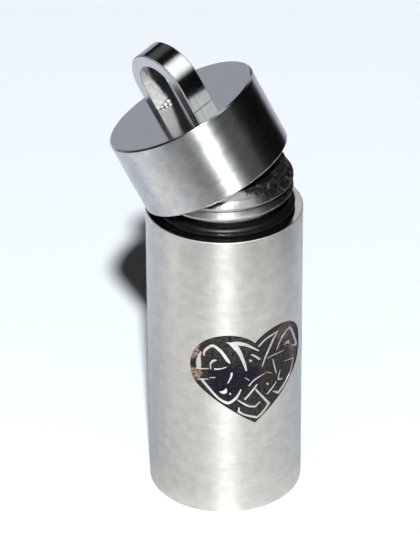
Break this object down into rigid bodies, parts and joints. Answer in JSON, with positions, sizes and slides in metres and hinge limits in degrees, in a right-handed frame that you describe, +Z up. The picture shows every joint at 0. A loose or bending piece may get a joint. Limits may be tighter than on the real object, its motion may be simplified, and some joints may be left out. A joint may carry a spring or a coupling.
{
  "type": "cremation pendant",
  "caption": "Cylindrical steel keepsake pendant with a knotwork heart on its wall; the screw cap with its fixed bail is undone and leans on the threaded, O-ringed neck.",
  "frame": {"origin": "centre of the vial's flat base, where it stands", "axes": "+Z up along the vial's axis, towards the neck and the cap; -Y towards the viewer of the marked front, with the heart turned 22.5 degrees towards +X; +X to the viewer's right"},
  "size_m": [0.0154, 0.0132, 0.0397],
  "materials": {
    "vial_steel": "satin brushed round the axis, with a laser-darkened knotwork heart",
    "seal_rubber": "smooth black rubber",
    "cap_steel": "brushed wall and a fine, softly mirroring flat top",
    "bail_steel": "bright, finely brushed"
  },
  "bodies": {
    "vial": {"urn_body": "vial_steel", "o_ring": "seal_rubber"},
    "cap_with_bail": {"cap": "cap_steel", "bail": "bail_steel"}
  },
  "joints": [
    {"name": "cap_lift", "type": "slide", "parent": "vial", "child": "cap_with_bail", "axis": [0, 0, 1], "range_m": [0, 0.025]}
  ]
}
